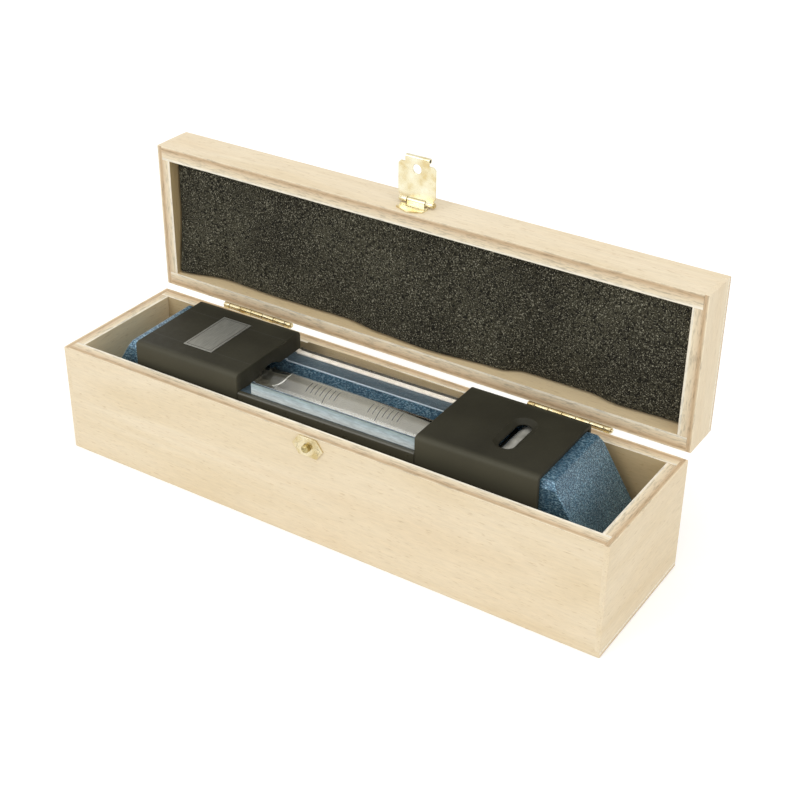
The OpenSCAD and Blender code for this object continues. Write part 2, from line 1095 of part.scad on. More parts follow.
module carrier_spring() {
    sides = 8;
    per_turn = 14;
    low = carrier_top_z + wire_r + 0.05;
    high = head_z - wire_r - 0.05;
    rise = (high - low) / spring_turns;
    rings = per_turn * spring_turns;
    points = [for (i = [0 : rings]) each coil_ring(i / per_turn, low, rise, sides)];
    skin = [for (i = [0 : rings - 1], s = [0 : sides - 1])
        let (a = i * sides + s, b = i * sides + (s + 1) % sides)
        each [[a, a + sides, b], [b, a + sides, b + sides]]];
    start = [for (s = [1 : sides - 2]) [0, s, s + 1]];
    last = rings * sides;
    end = [for (s = [1 : sides - 2]) [last, last + s + 1, last + s]];
    color("silver")
        level_place()
            translate([screw_x, 0, 0])
                polyhedron(points = points, faces = concat(skin, start, end));
}

case_bottom_panel();
case_front_board();
case_back_board();
case_left_board();
case_right_board();
base_pad();
left_hinge_base_leaf();
right_hinge_base_leaf();
left_hinge_pin();
right_hinge_pin();
hinge_base_nails();
catch_plate();
catch_stud();
catch_nails();
lid_top_panel();
lid_front_board();
lid_back_board();
lid_left_board();
lid_right_board();
lid_foam();
left_hinge_lid_leaf();
right_hinge_lid_leaf();
hinge_lid_nails();
hasp_plate();
hasp_pin();
hasp_nails();
hasp_flap();
level_body();
left_cover();
right_cover();
front_rail();
rear_rail();
cover_screws();
rail_screws();
front_window_seal();
rear_window_seal();
window();
label_plate();
cross_vial();
cross_vial_liquid();
cross_vial_plugs();
cross_vial_saddle();
carrier_pivot_pin();
screw_retainer();
retainer_screws();
carrier_spring();
vial_carrier();
main_vial();
main_vial_liquid();
vial_end_plugs();
vial_cement();
adjusting_screw();
main_bubble();
cross_bubble();
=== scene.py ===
import math

import bmesh
import bpy
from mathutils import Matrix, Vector, noise


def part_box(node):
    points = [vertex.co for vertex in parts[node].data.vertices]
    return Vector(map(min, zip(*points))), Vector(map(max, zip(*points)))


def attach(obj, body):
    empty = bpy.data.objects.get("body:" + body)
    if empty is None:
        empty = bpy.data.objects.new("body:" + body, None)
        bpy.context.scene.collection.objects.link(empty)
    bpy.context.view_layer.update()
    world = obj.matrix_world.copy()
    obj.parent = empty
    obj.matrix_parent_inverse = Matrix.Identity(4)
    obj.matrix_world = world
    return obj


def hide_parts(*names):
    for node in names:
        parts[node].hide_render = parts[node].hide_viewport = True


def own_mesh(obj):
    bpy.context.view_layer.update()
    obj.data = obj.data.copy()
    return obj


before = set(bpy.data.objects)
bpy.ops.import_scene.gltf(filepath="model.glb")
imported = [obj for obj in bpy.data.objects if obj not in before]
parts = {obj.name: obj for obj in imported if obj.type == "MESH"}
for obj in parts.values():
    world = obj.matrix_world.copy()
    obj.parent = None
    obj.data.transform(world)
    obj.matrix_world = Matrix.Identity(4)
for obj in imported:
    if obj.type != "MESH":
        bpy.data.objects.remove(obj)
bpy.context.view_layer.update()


# The view looks down on the open case from beyond its front right corner. It is a plain pinhole
# view with no shift, and its place comes from the case's straight edges.
lens = bpy.data.cameras.new("case_view")
lens.sensor_width = 36.0
lens.lens = 67.876
lens.clip_start = 0.02
lens.clip_end = 20.0
viewer = bpy.data.objects.new("case_view", lens)
viewer.location = (0.257046, -0.371825, 0.315378)
viewer.rotation_euler = (1.0291409, -0.0080884, 0.5770697)
bpy.context.scene.collection.objects.link(viewer)
bpy.context.scene.camera = viewer
bpy.context.scene.view_settings.view_transform = "Standard"


# The case's base is a box of beech-faced plywood: long boards between end boards whose lips lap
# over their ends, and a thin panel glued under all four.
def tint(red, green, blue):
    """A colour as a paint chart writes it, 0 to 255, as the shader wants it."""
    shares = [step / 255 for step in (red, green, blue)]
    linear = [share / 12.92 if share < 0.0405 else ((share + 0.055) / 1.055) ** 2.4 for share in shares]
    return (*linear, 1.0)


def grey(value):
    return (value, value, value, 1.0)


def new_finish(name, colour, roughness, metallic=0.0, specular=0.5):
    finish = bpy.data.materials.new(name)
    finish.use_nodes = True
    shader = finish.node_tree.nodes["Principled BSDF"]
    shader.inputs["Base Color"].default_value = colour
    shader.inputs["Roughness"].default_value = roughness
    shader.inputs["Metallic"].default_value = metallic
    shader.inputs["Specular IOR Level"].default_value = specular
    return finish, finish.node_tree, shader


def connect(tree, source, target, key):
    """Gives one input of a node a value, a chosen output, or the first output of another node."""
    if isinstance(source, bpy.types.Node):
        source = source.outputs[0]
    if isinstance(source, bpy.types.NodeSocket):
        tree.links.new(source, target.inputs[key])
    else:
        target.inputs[key].default_value = source


def lay(tree, kind, feeds=None, **settings):
    """Adds a node, sets it and feeds its inputs."""
    made = tree.nodes.new("ShaderNode" + kind)
    for key, value in settings.items():
        setattr(made, key, value)
    for key, value in (feeds or {}).items():
        connect(tree, value, made, key)
    return made


def reckon(tree, operation, *terms):
    """One step of arithmetic."""
    return lay(tree, "Math", dict(enumerate(terms)), operation=operation)


def mottle(tree, spot, scale, detail=2.0, roughness=0.5, distortion=0.0):
    """Soft noise laid over a place, from 0 to 1."""
    return lay(tree, "TexNoise", {"Vector": spot, "Scale": scale, "Detail": detail,
                                  "Roughness": roughness, "Distortion": distortion})


def rescaled(tree, value, low, high, to_low=0.0, to_high=1.0):
    """Turns low to high into to_low to to_high, and holds still beyond both ends."""
    return lay(tree, "MapRange", {0: value, 1: low, 2: high, 3: to_low, 4: to_high})


def ramp(tree, amount, stops):
    """Colours laid along a 0 to 1 amount, as (place, colour) pairs."""
    made = lay(tree, "ValToRGB", {0: amount})
    band = made.color_ramp
    while len(band.elements) < len(stops):
        band.elements.new(0.5)
    for element, (place, colour) in zip(band.elements, stops):
        element.position = place
        element.color = colour
    return made


def blended(tree, amount, first, second, kind="MIX"):
    return lay(tree, "Mix", {0: amount, 6: first, 7: second}, data_type="RGBA", blend_type=kind).outputs[2]


def roughen(tree, shader, height, depth, strength):
    bump = lay(tree, "Bump", {"Height": height, "Distance": depth, "Strength": strength})
    connect(tree, bump, shader, "Normal")


# Painted shade on the boards' inside faces: each is multiplied by its tone, most on the case's back board
# and the lid's left board, least on the case's left board.
inner_painted_shades = {"case_back_board": tint(218, 205, 175), "lid_left_board": tint(196, 182, 142),
               "case_left_board": tint(255, 251, 238)}
other_inner_painted_shade = tint(250, 240, 216)
square_on = 0.8     # how far a face must turn to an axis to count as facing along it


def veneer(board, grain, through, sawn, outside):
    """Beech-faced plywood. grain, through and sawn are axis numbers: the way the grain runs, the
    way through the board, and the way its sawn rim faces. outside is -1 or 1 along through."""
    finish, tree, shader = new_finish("beech_" + board, tint(232, 217, 189), 0.62, specular=0.25)
    coordinates = lay(tree, "TexCoord")
    spot = coordinates.outputs["Object"]
    stretch = [1000.0, 1000.0, 1000.0]
    stretch[grain] = 130.0
    along = lay(tree, "Mapping", {0: spot, "Scale": stretch})
    sweep = lay(tree, "Mapping", {0: spot, "Scale": [s * 0.05 for s in stretch]})

    figure = mottle(tree, sweep, 1.3, distortion=0.7)
    patches = ramp(tree, mottle(tree, spot, 16.0, 1.0), [(0.35, grey(0)), (0.7, grey(0.35))])
    flecks = ramp(tree, mottle(tree, along, 2.0, 2.0, 0.6), [(0.60, grey(0)), (0.72, grey(1))])
    fibres = mottle(tree, along, 1.1, 3.0, 0.7)
    fibre_shade = ramp(tree, fibres, [(0.35, grey(0.45)), (0.65, grey(1))])
    face = ramp(tree, figure, [
        (0.30, tint(229, 211, 178)), (0.52, tint(236, 221, 193)), (0.75, tint(232, 214, 183))])
    face = blended(tree, patches, face, tint(227, 205, 168))
    face = blended(tree, reckon(tree, "MULTIPLY", flecks, 0.52), face, tint(196, 170, 130))
    face = blended(tree, 0.14, face, fibre_shade, "MULTIPLY")

    # The sawn rim shows the veneers side by side, from the outside face to the inside one.
    low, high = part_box(board)
    start, end = (low[through], high[through]) if outside < 0 else (high[through], low[through])
    place = lay(tree, "SeparateXYZ", {0: spot})
    drift = mottle(tree, sweep, 5.0)
    shifted = reckon(tree, "MULTIPLY_ADD", drift, 0.0006 * -outside, place.outputs[through])
    plies = ramp(tree, rescaled(tree, shifted, start, end), [
        (0.0, tint(248, 238, 216)), (0.10, tint(240, 225, 194)), (0.17, tint(216, 192, 158)),
        (0.28, tint(200, 172, 137)), (0.38, tint(212, 187, 152)), (0.50, tint(226, 205, 173)),
        (0.68, tint(232, 215, 184)), (0.86, tint(238, 223, 194)), (0.95, tint(248, 239, 219))])
    pores = ramp(tree, mottle(tree, along, 1.3, 3.0, 0.75), [(0.34, grey(0.4)), (0.52, grey(1))])
    plies = blended(tree, 0.55, plies, pores, "MULTIPLY")

    facing = lay(tree, "SeparateXYZ", {0: coordinates.outputs["Normal"]})
    rim = reckon(tree, "GREATER_THAN", reckon(tree, "ABSOLUTE", facing.outputs[sawn]), square_on)
    inward = reckon(tree, "MULTIPLY", facing.outputs[through], -outside)
    inner = reckon(tree, "GREATER_THAN", inward, square_on)
    inner_painted_shade = inner_painted_shades.get(board, other_inner_painted_shade)
    # Inside faces are darkened by their painted shade.
    face = blended(tree, reckon(tree, "MULTIPLY", inner, 0.8), face, inner_painted_shade, "MULTIPLY")
    connect(tree, blended(tree, rim, face, plies), shader, "Base Color")
    roughen(tree, shader, fibres, 0.00006, 0.5)
    return finish


def ease_edges(part, width, rings, angle, pierced, screwed):
    """The maker's light rounding of a part's sharp edges. A pierced part has small nail holes,
    and a screwed one has screw holes in its flat sides."""
    weld = part.modifiers.new("joined_faces", "WELD")
    weld.merge_threshold = 0.000004
    if screwed:
        flat = part.modifiers.new("whole_flat_sides", "DECIMATE")
        flat.decimate_type = "DISSOLVE"
        flat.angle_limit = math.radians(0.3)
    bevel = part.modifiers.new("eased_edges", "BEVEL")
    bevel.width = width
    bevel.segments = rings
    bevel.angle_limit = math.radians(angle)
    bevel.use_clamp_overlap = pierced
    smooth = part.modifiers.new("even_shading", "WEIGHTED_NORMAL")
    smooth.keep_sharp = True


def dress(name, finish, edge=None, rings=2, angle=38, pierced=False, screwed=False):
    """Gives a part of the model its finish, and rounds its edges where edge says how far."""
    part = parts[name]
    if not part.material_slots:
        part.data.materials.append(finish)
    for place in part.material_slots:
        place.material = finish
    if edge:
        ease_edges(part, edge, rings, angle, pierced, screwed)


def dress_boards(boards, nailed):
    """boards holds each board's name, grain, through, sawn and outside, as veneer takes them."""
    for board, *ways in boards:
        dress(board, veneer(board, *ways), 0.00018, pierced=board in nailed)


dress_boards([
    ("case_front_board", 0, 1, 2, -1), ("case_back_board", 0, 1, 2, 1),
    ("case_left_board", 1, 0, 2, -1), ("case_right_board", 1, 0, 2, 1),
    ("case_bottom_panel", 0, 2, 0, -1),
], nailed=("case_front_board", "case_back_board"))


# A soft pad of dark foam lies loose on the bottom panel, so that the level's sole never
# meets wood. It is cut a little small, with soft edges and an uneven top.
def foam_finish(name):
    finish, tree, shader = new_finish(name, tint(45, 44, 40), 0.95, specular=0.15)
    spot = lay(tree, "TexCoord").outputs["Object"]
    cells = lay(tree, "TexVoronoi", {"Vector": spot, "Scale": 2200.0})
    # The pale glints are painted highlights on the foam's cells, and the near-black pits are painted shade
    # in its hollows.
    glints = ramp(tree, mottle(tree, spot, 2200.0, 2.0, 0.7), [(0.56, grey(0)), (0.70, grey(0.95))])
    pit_shade = ramp(tree, mottle(tree, spot, 1100.0), [(0.36, grey(0.85)), (0.54, grey(0))])
    ground = ramp(tree, mottle(tree, spot, 26.0), [(0.32, tint(48, 46, 36)), (0.62, tint(68, 66, 53))])
    dark = blended(tree, pit_shade, ground, tint(16, 15, 12))
    connect(tree, blended(tree, glints, dark, tint(172, 168, 148)), shader, "Base Color")
    roughen(tree, shader, cells, 0.0004, 0.7)
    return finish


def placed(mesh, name):
    """Puts a drawn mesh in the scene as an object."""
    piece = bpy.data.objects.new(name, bpy.data.meshes.new(name))
    mesh.to_mesh(piece.data)
    mesh.free()
    bpy.context.scene.collection.objects.link(piece)
    return piece


def foam_block(name, low, high, front, steps, relief):
    """A closed block of foam with rounded edges. front is the axis its wide faces look along, and
    relief(point) says how far a point of the wide face at the low side stands out."""
    across, up = [axis for axis in range(3) if axis != front]
    rounding = 0.0014
    mesh = bmesh.new()

    def soft_point(i, j, side):
        at = [0.0, 0.0, 0.0]
        inset = 0.0
        for axis, share in ((across, i / steps[0]), (up, j / steps[1])):
            at[axis] = low[axis] + (high[axis] - low[axis]) * share
            edge = min(share, 1 - share) * (high[axis] - low[axis])
            if edge < rounding:
                inset = max(inset, rounding - math.sqrt(max(rounding ** 2 - (rounding - edge) ** 2, 0)))
        at[front] = low[front] + inset if side < 0 else high[front] - inset
        if side < 0:
            at[front] -= relief(Vector(at))
        return at

    rims = []
    for side in (-1, 1):
        grid = [[mesh.verts.new(soft_point(i, j, side)) for j in range(steps[1] + 1)]
                for i in range(steps[0] + 1)]
        for i in range(steps[0]):
            for j in range(steps[1]):
                mesh.faces.new([grid[i][j], grid[i + 1][j], grid[i + 1][j + 1], grid[i][j + 1]])
        rim = [grid[i][0] for i in range(steps[0])] + [grid[-1][j] for j in range(steps[1])]
        rim += [grid[i][-1] for i in range(steps[0], 0, -1)] + [grid[0][j] for j in range(steps[1], 0, -1)]
        rims.append(rim)
    for k in range(len(rims[0])):
        after = (k + 1) % len(rims[0])
        mesh.faces.new([rims[0][k], rims[0][after], rims[1][after], rims[1][k]])
    bmesh.ops.recalc_face_normals(mesh, faces=mesh.faces)
    block = placed(mesh, name)
    block.data.shade_smooth()
    return block


def pad_relief(at):
    """The pad's top lies a little low and waves gently."""
    return -0.00012 + 0.00022 * noise.noise(at * 55.0)


# foam_block shapes a block's low side, so the pad is made upside down and turned over.
pad_low, pad_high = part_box("base_pad")
pad = foam_block("soft_base_pad", (pad_low.x, pad_low.y, -pad_high.z), (pad_high.x, pad_high.y, -pad_low.z),
                 2, (110, 26), pad_relief)
for corner in pad.data.vertices:
    corner.co.z = -corner.co.z
pad.data.flip_normals()
pad.data.materials.append(foam_finish("dark_pad_foam"))
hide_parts("base_pad")
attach(pad, "case")


# Two small hinges of pressed brass join the lid to the back board. Their leaves are nailed
# flat on the back faces of both, and a peened pin runs through the knuckles in the gap.
def brass_finish(name, shine, shades):
    """Sheet brass with rolling marks. shades are its dark, middle and light tone."""
    finish, tree, shader = new_finish(name, tint(238, 226, 184), shine, metallic=1.0)
    spot = lay(tree, "TexCoord").outputs["Object"]
    tone = ramp(tree, mottle(tree, spot, 210.0, 3.0), list(zip((0.3, 0.5, 0.75), shades)))
    connect(tree, tone, shader, "Base Color")
    rolled = mottle(tree, lay(tree, "Mapping", {0: spot, "Scale": (300.0, 6000.0, 6000.0)}), 1.0)
    connect(tree, rescaled(tree, rolled, 0.3, 0.7, shine - 0.06, shine + 0.1), shader, "Roughness")
    roughen(tree, shader, rolled, 0.00001, 0.15)
    return finish


hinge_brass = brass_finish("hinge_brass", 0.28, (
    tint(190, 164, 108), tint(218, 203, 160), tint(228, 216, 184)))
for hinge in ("left_hinge", "right_hinge"):
    for piece in ("_base_leaf", "_lid_leaf", "_pin"):
        dress(hinge + piece, hinge_brass, 0.00008)
dress("hinge_base_nails", hinge_brass)
dress("hinge_lid_nails", hinge_brass)


# The catch on the front board is a six-sided brass plate with a turned stud, held by the
# stud's shank and two small nails.
catch_brass = brass_finish("catch_brass", 0.26, (
    tint(196, 176, 126), tint(220, 207, 172), tint(230, 220, 192)))
stud_brass = brass_finish("stud_brass", 0.3, (
    tint(146, 128, 80), tint(172, 154, 102), tint(196, 182, 136)))
dress("catch_plate", catch_brass, 0.00012, 3)
dress("catch_stud", stud_brass, 0.00025, 3)
dress("catch_nails", catch_brass)


# The lid is a shallow box made like the base. Its rim shows the same veneers, and its
# grain runs along the boards.
dress_boards([
    ("lid_front_board", 0, 2, 1, 1), ("lid_back_board", 0, 2, 1, -1),
    ("lid_left_board", 2, 0, 1, -1), ("lid_right_board", 2, 0, 1, 1),
    ("lid_top_panel", 0, 1, 0, 1),
], nailed=("lid_front_board", "lid_back_board"))


# The lid's lining is a slab of open-cell foam pushed in between the boards. It has a crease
# near its left end, and its lower edge bulges in and out along the board.
lining_low, lining_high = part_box("lid_foam")
# Places along the lid and how far behind the case's middle the lower edge's face lies there,
# both in millimetres.
edge_marks = [(-107, 31.0), (-85, 35.2), (-59, 34.1), (-30, 35.0), (-12.5, 32.6), (9, 31.3),
              (37, 33.4), (45, 36.7), (70, 37.0), (83, 34.6), (104, 35.4), (108, 35.4)]
bulge_height = 0.016
crease_middle = -0.0845
crease_low, crease_high, crease_fade = lining_low.z + 0.0037, lining_high.z - 0.0073, 0.004
crease_depth, crease_width = 0.0011, 0.0009
lip_rise, lip_width, lip_off = 0.0004, 0.002, 0.003


def lining_edge(x):
    """How far forward the foam's lower edge stands at x, in metres."""
    x = x * 1000
    for (x0, y0), (x1, y1) in zip(edge_marks, edge_marks[1:]):
        if x <= x1:
            share = max(0.0, (x - x0) / (x1 - x0))
            share = share * share * (3 - 2 * share)
            return lining_low.y - (y0 + (y1 - y0) * share) / 1000
    return 0.0


def lining_relief(at):
    """The lower edge's bulge, the foam's soft waves, and the crease with the lip beside it."""
    above = (at.z - lining_low.z) / bulge_height
    edge = lining_edge(at.x) * math.exp(-above * above)
    soft = 0.0005 * noise.noise(at * 38.0) + 0.00022 * noise.noise(at * 120.0)
    from_low = min(1.0, max(0.0, (at.z - crease_low) / crease_fade))
    from_high = min(1.0, max(0.0, (crease_high - at.z) / crease_fade))
    wander = 0.0009 * noise.noise(Vector((0.0, 0.0, at.z * 90.0)))
    off = at.x - crease_middle - wander
    crease = crease_depth * math.exp(-(off / crease_width) ** 2)
    lip = lip_rise * math.exp(-((off - lip_off) / lip_width) ** 2)
    return edge + soft + from_low * from_high * (lip - crease)


lining = foam_block("foam_lid_lining", lining_low, lining_high, 1, (230, 52), lining_relief)
lining.data.materials.append(foam_finish("charcoal_lining_foam"))
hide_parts("lid_foam")
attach(lining, "lid")
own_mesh(lining)


# The hasp is bent from thin brass sheet. A small plate is nailed to the lid's front board
# and carries the flap on a pin; the flap's end is rolled for a fingertip.
hasp_brass = brass_finish("hasp_brass", 0.22, (
    tint(214, 194, 144), tint(230, 221, 188), tint(240, 234, 210)))
dress("hasp_plate", hasp_brass, 0.0001)
dress("hasp_pin", hasp_brass, 0.0001)
dress("hasp_nails", hasp_brass)
dress("hasp_flap", hasp_brass, 0.00012)


# The level's body is a bar of cast iron with a ground V in its sole and sloped ends. All
# but its sole is sprayed with blue hammer-finish paint, which dries into small cells.
level_yaw = math.radians(1.15)
level_foot = Vector((-0.0012, -0.0005, 0.005))
strip_low, strip_reach = 0.0382, 0.0366     # the smooth top under the window: its height and half length
ridge_off, ridge_highlight_half = 0.0098, 0.00024     # the painted highlight line along the ridge at each side of that top: its place and half width
sole_skin = 0.0008


def level_spot(tree):
    """Places on the level measured from its own middle and sole, as it lies turned in the case."""
    spot = lay(tree, "TexCoord").outputs["Object"]
    moved = lay(tree, "VectorMath", {0: spot, 1: level_foot}, operation="SUBTRACT")
    return lay(tree, "VectorRotate", {"Vector": moved, "Angle": -level_yaw}, rotation_type="Z_AXIS")


def hammer_finish():
    finish, tree, shader = new_finish("blue_hammer_paint", tint(72, 102, 124), 0.33, metallic=0.35)
    shader.inputs["Coat Weight"].default_value = 0.35
    shader.inputs["Coat Roughness"].default_value = 0.12
    spot = level_spot(tree)
    wander = mottle(tree, spot, 900.0).outputs["Color"]
    shaken = lay(tree, "VectorMath", {0: wander, 1: (0.0009, 0.0009, 0.0009), 2: spot},
                 operation="MULTIPLY_ADD")
    cells = lay(tree, "TexVoronoi", {"Vector": shaken, "Scale": 950.0}, feature="DISTANCE_TO_EDGE")
    grains = lay(tree, "TexVoronoi", {"Vector": shaken, "Scale": 950.0})
    run = lay(tree, "Mapping", {0: spot, "Scale": (1100.0, 2600.0, 2600.0)})
    flakes = mottle(tree, run, 1.0, 3.0, 0.6)
    cloud = mottle(tree, spot, 120.0)
    tone = ramp(tree, cells, [
        (0.0, tint(38, 66, 86)), (0.12, tint(66, 102, 124)), (0.4, tint(86, 130, 153))])
    glitter = ramp(tree, flakes, [(0.50, grey(0)), (0.64, grey(0.9))])
    tone = blended(tree, glitter, tone, tint(166, 202, 220))
    tone = blended(tree, ramp(tree, cloud, [(0.35, grey(0)), (0.7, grey(0.4))]), tone, tint(42, 72, 96))

    place = lay(tree, "SeparateXYZ", {0: spot})
    across = reckon(tree, "ABSOLUTE", place.outputs["Y"])
    along = reckon(tree, "ABSOLUTE", place.outputs["X"])
    on_top = reckon(tree, "GREATER_THAN", place.outputs["Z"], strip_low)
    strip = reckon(tree, "MULTIPLY", on_top, reckon(tree, "LESS_THAN", along, strip_reach))
    # The top under the window is painted a darker, greyer blue: a painted reflection of the dark lid
    # lining.
    tone = blended(tree, reckon(tree, "MULTIPLY", strip, 0.88), tone, tint(76, 90, 98))
    # A pale line along each ridge is a painted highlight of its edge.
    ridge = reckon(tree, "MULTIPLY", reckon(tree, "COMPARE", across, ridge_off, ridge_highlight_half), strip)
    tone = blended(tree, reckon(tree, "MULTIPLY", ridge, 0.8), tone, tint(206, 220, 228))
    ground_sole = reckon(tree, "LESS_THAN", place.outputs["Z"], sole_skin)
    connect(tree, blended(tree, ground_sole, tone, tint(160, 160, 160)), shader, "Base Color")
    roughen(tree, shader, reckon(tree, "MULTIPLY_ADD", grains, flakes, 0.35), 0.00022, 0.75)
    return finish


hammer_paint = hammer_finish()
dress("level_body", hammer_paint, 0.0005, 3, 30)


# Under the window lie the level's working parts: a machined carrier that holds the vial in
# cement and turns on a steel pin, and the adjusting screw that lifts its other end against a
# coil spring.
def turned_metal(name, colour, shine, scale=(5000.0, 5000.0, 400.0)):
    """Bare metal with tool marks. scale says how fine the marks are along each axis."""
    finish, tree, shader = new_finish(name, colour, shine, metallic=1.0)
    spot = level_spot(tree)
    lines = mottle(tree, lay(tree, "Mapping", {0: spot, "Scale": scale}), 1.0)
    worn = mottle(tree, spot, 160.0, 3.0)
    connect(tree, rescaled(tree, worn, 0.3, 0.7, shine - 0.07, shine + 0.12), shader, "Roughness")
    line_shade = ramp(tree, lines, [(0.3, grey(0.6)), (0.7, grey(1))])
    connect(tree, blended(tree, 0.25, colour, line_shade, "MULTIPLY"), shader, "Base Color")
    roughen(tree, shader, lines, 0.00003, 0.5)
    return finish


def two_toned(name, colour, roughness, scale, detail, stops, relief=None, specular=0.5):
    """A plain stuff of two close tones in soft patches. relief is the patches' depth and how
    strongly it shows."""
    finish, tree, shader = new_finish(name, colour, roughness, specular=specular)
    patches = mottle(tree, level_spot(tree), scale, detail)
    connect(tree, ramp(tree, patches, stops), shader, "Base Color")
    if relief:
        roughen(tree, shader, patches, *relief)
    return finish


turned_steel = turned_metal("turned_steel", tint(176, 176, 178), 0.3)
milled_metal = turned_metal("milled_carrier", tint(168, 170, 172), 0.38, (400.0, 5000.0, 5000.0))
cement_finish = two_toned("plaster_cement", tint(216, 208, 192), 0.9, 900.0, 3.0, [
    (0.35, tint(198, 189, 172)), (0.6, tint(224, 217, 202))], (0.0002, 0.6), specular=0.2)
dress("carrier_pivot_pin", turned_steel, 0.0001)
dress("screw_retainer", turned_steel, 0.0002)
dress("retainer_screws", turned_steel)
dress("adjusting_screw", turned_steel, 0.00015)
dress("vial_carrier", milled_metal, 0.0003)
dress("vial_cement", cement_finish)
dress("carrier_spring", turned_steel)
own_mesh(parts["carrier_spring"])


# The main vial is a thick glass tube sealed at both ends. Ivory enamel fired on the lower
# part of its outside makes the bubble and the divisions easy to read.
tube_r = 0.00775
bore_r = 0.0066
tube_half = 0.05
vial_middle = level_foot + Vector((0.0, 0.0, 0.0313))


def laid_in_level(mesh, name, middle):
    """Makes an object of a mesh drawn about a point of the level, along its length."""
    turn = math.cos(level_yaw), math.sin(level_yaw)
    for vert in mesh.verts:
        x, y, z = vert.co
        vert.co = (middle.x + x * turn[0] - y * turn[1], middle.y + x * turn[1] + y * turn[0], middle.z + z)
    return placed(mesh, name)


def bridge(mesh, rows, sides):
    """Joins each ring of points to the next with faces. A ring of one point is a tip."""
    for row, after in zip(rows, rows[1:]):
        for k in range(sides):
            corners = [row[k % len(row)], row[(k + 1) % len(row)],
                       after[(k + 1) % len(after)], after[k % len(after)]]
            unique = [v for n, v in enumerate(corners) if v not in corners[:n]]
            if len(unique) > 2:
                mesh.faces.new(unique)


def mirrored(half):
    """A whole outline from one half of it, (x, radius) points from an end towards the middle."""
    return half + [(-x, radius) for x, radius in reversed(half)]


def turned_skin(mesh, outline, sides, first=0.0, last=360.0):
    """Turns (x, radius) points about the length. Angles are from straight down; less than a full
    turn leaves the skin open."""
    count = sides if last - first >= 359.9 else sides + 1
    angles = [math.radians(first + (last - first) * k / sides) for k in range(count)]
    rows = []
    for x, radius in outline:
        if radius == 0:
            rows.append([mesh.verts.new((x, 0, 0))])
        else:
            rows.append([mesh.verts.new((x, radius * math.sin(a), -radius * math.cos(a))) for a in angles])
    bridge(mesh, rows, sides)


def clear_finish(name, colour, ior, roughness=0.0):
    """A clear stuff, glass, acrylic or spirit, whose surface waves very slightly."""
    finish, tree, shader = new_finish(name, colour, roughness)
    shader.inputs["IOR"].default_value = ior
    shader.inputs["Transmission Weight"].default_value = 1.0
    roughen(tree, shader, mottle(tree, level_spot(tree), 120.0, 3.0), 0.00002, 0.4)
    return finish


def smooth_but_for_rims(piece):
    """Shades a piece round, and keeps its end rims crisp."""
    piece.data.shade_smooth()
    piece.data.set_sharp_from_angle(angle=math.radians(40))


def light_through(*pieces):
    """Clear pieces throw no shadow, so that the lamps reach what lies under them."""
    for piece in pieces:
        piece.visible_shadow = False


tube = bmesh.new()
turned_skin(tube, mirrored([(-tube_half, 0), (-tube_half, tube_r - 0.0012),
                            (-tube_half + 0.0005, tube_r - 0.0004), (-tube_half + 0.0014, tube_r)]), 96)
# The bore is drawn from right to left, so that its faces look into it.
turned_skin(tube, mirrored([(tube_half - 0.003, 0), (tube_half - 0.003, bore_r - 0.001),
                            (tube_half - 0.004, bore_r)]), 96)
glass_tube = laid_in_level(tube, "vial_glass_tube", vial_middle)
smooth_but_for_rims(glass_tube)
glass_tube.data.materials.append(clear_finish("vial_glass", tint(254, 254, 253), 1.5))
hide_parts("main_vial", "vial_end_plugs")
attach(glass_tube, "vial")
light_through(glass_tube)

enamel_half = 0.0485
enamel = bmesh.new()
turned_skin(enamel, mirrored([(-enamel_half, tube_r + 0.00003)]), 72, -96, 76)
enamel_skin = laid_in_level(enamel, "ivory_enamel", vial_middle)
enamel_skin.data.shade_smooth()
thick = enamel_skin.modifiers.new("enamel_thickness", "SOLIDIFY")
thick.thickness = 0.00006
thick.offset = 1.0
enamel_finish = two_toned("fired_ivory_enamel", tint(250, 246, 234), 0.35, 90.0, 2.0, [
    (0.3, tint(246, 242, 228)), (0.7, tint(253, 250, 240))], (0.00005, 0.4))
enamel_skin.data.materials.append(enamel_finish)
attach(enamel_skin, "vial")


# The divisions are thin dark lines fired on the glass, two groups of seven, 2 mm apart.
# The third line of each group, counted from the middle, runs further round the tube.
pitch = 0.002
line_half = 0.00012
line_low, line_high = 0.00001, 0.00004      # how far a line's foot and its face stand off the glass
# Angles in degrees, from the tube's front upwards: where every line starts, just past the top,
# and where the short and the long ones end.
line_start = 94
short_end, long_end = 58, 42


def division(mesh, x, end):
    """Draws one line at x, over the tube's top and down its front to the angle end."""
    steps = 18
    rows = []
    for k in range(steps + 1):
        angle = math.radians(line_start - (line_start - end) * k / steps)
        row = []
        for dx, lift in ((-line_half, line_low), (-line_half, line_high),
                         (line_half, line_high), (line_half, line_low)):
            radius = tube_r + lift
            row.append(mesh.verts.new((x + dx, -radius * math.cos(angle), radius * math.sin(angle))))
        rows.append(row)
    bridge(mesh, rows, 4)
    mesh.faces.new(rows[0][::-1])
    mesh.faces.new(rows[-1])


# Each group's side and how far its first line lies from the vial's middle.
groups = ((-1, 0.0058), (1, 0.0082))
marks = bmesh.new()
for side, nearest in groups:
    for count in range(7):
        division(marks, side * (nearest + pitch * count), long_end if count == 2 else short_end)
divisions = laid_in_level(marks, "vial_divisions", vial_middle)
ink_finish = two_toned("fired_black_lines", tint(40, 40, 42), 0.5, 2200.0, 2.0, [
    (0.3, tint(30, 30, 32)), (0.75, tint(70, 69, 66))])
divisions.data.materials.append(ink_finish)
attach(divisions, "vial")


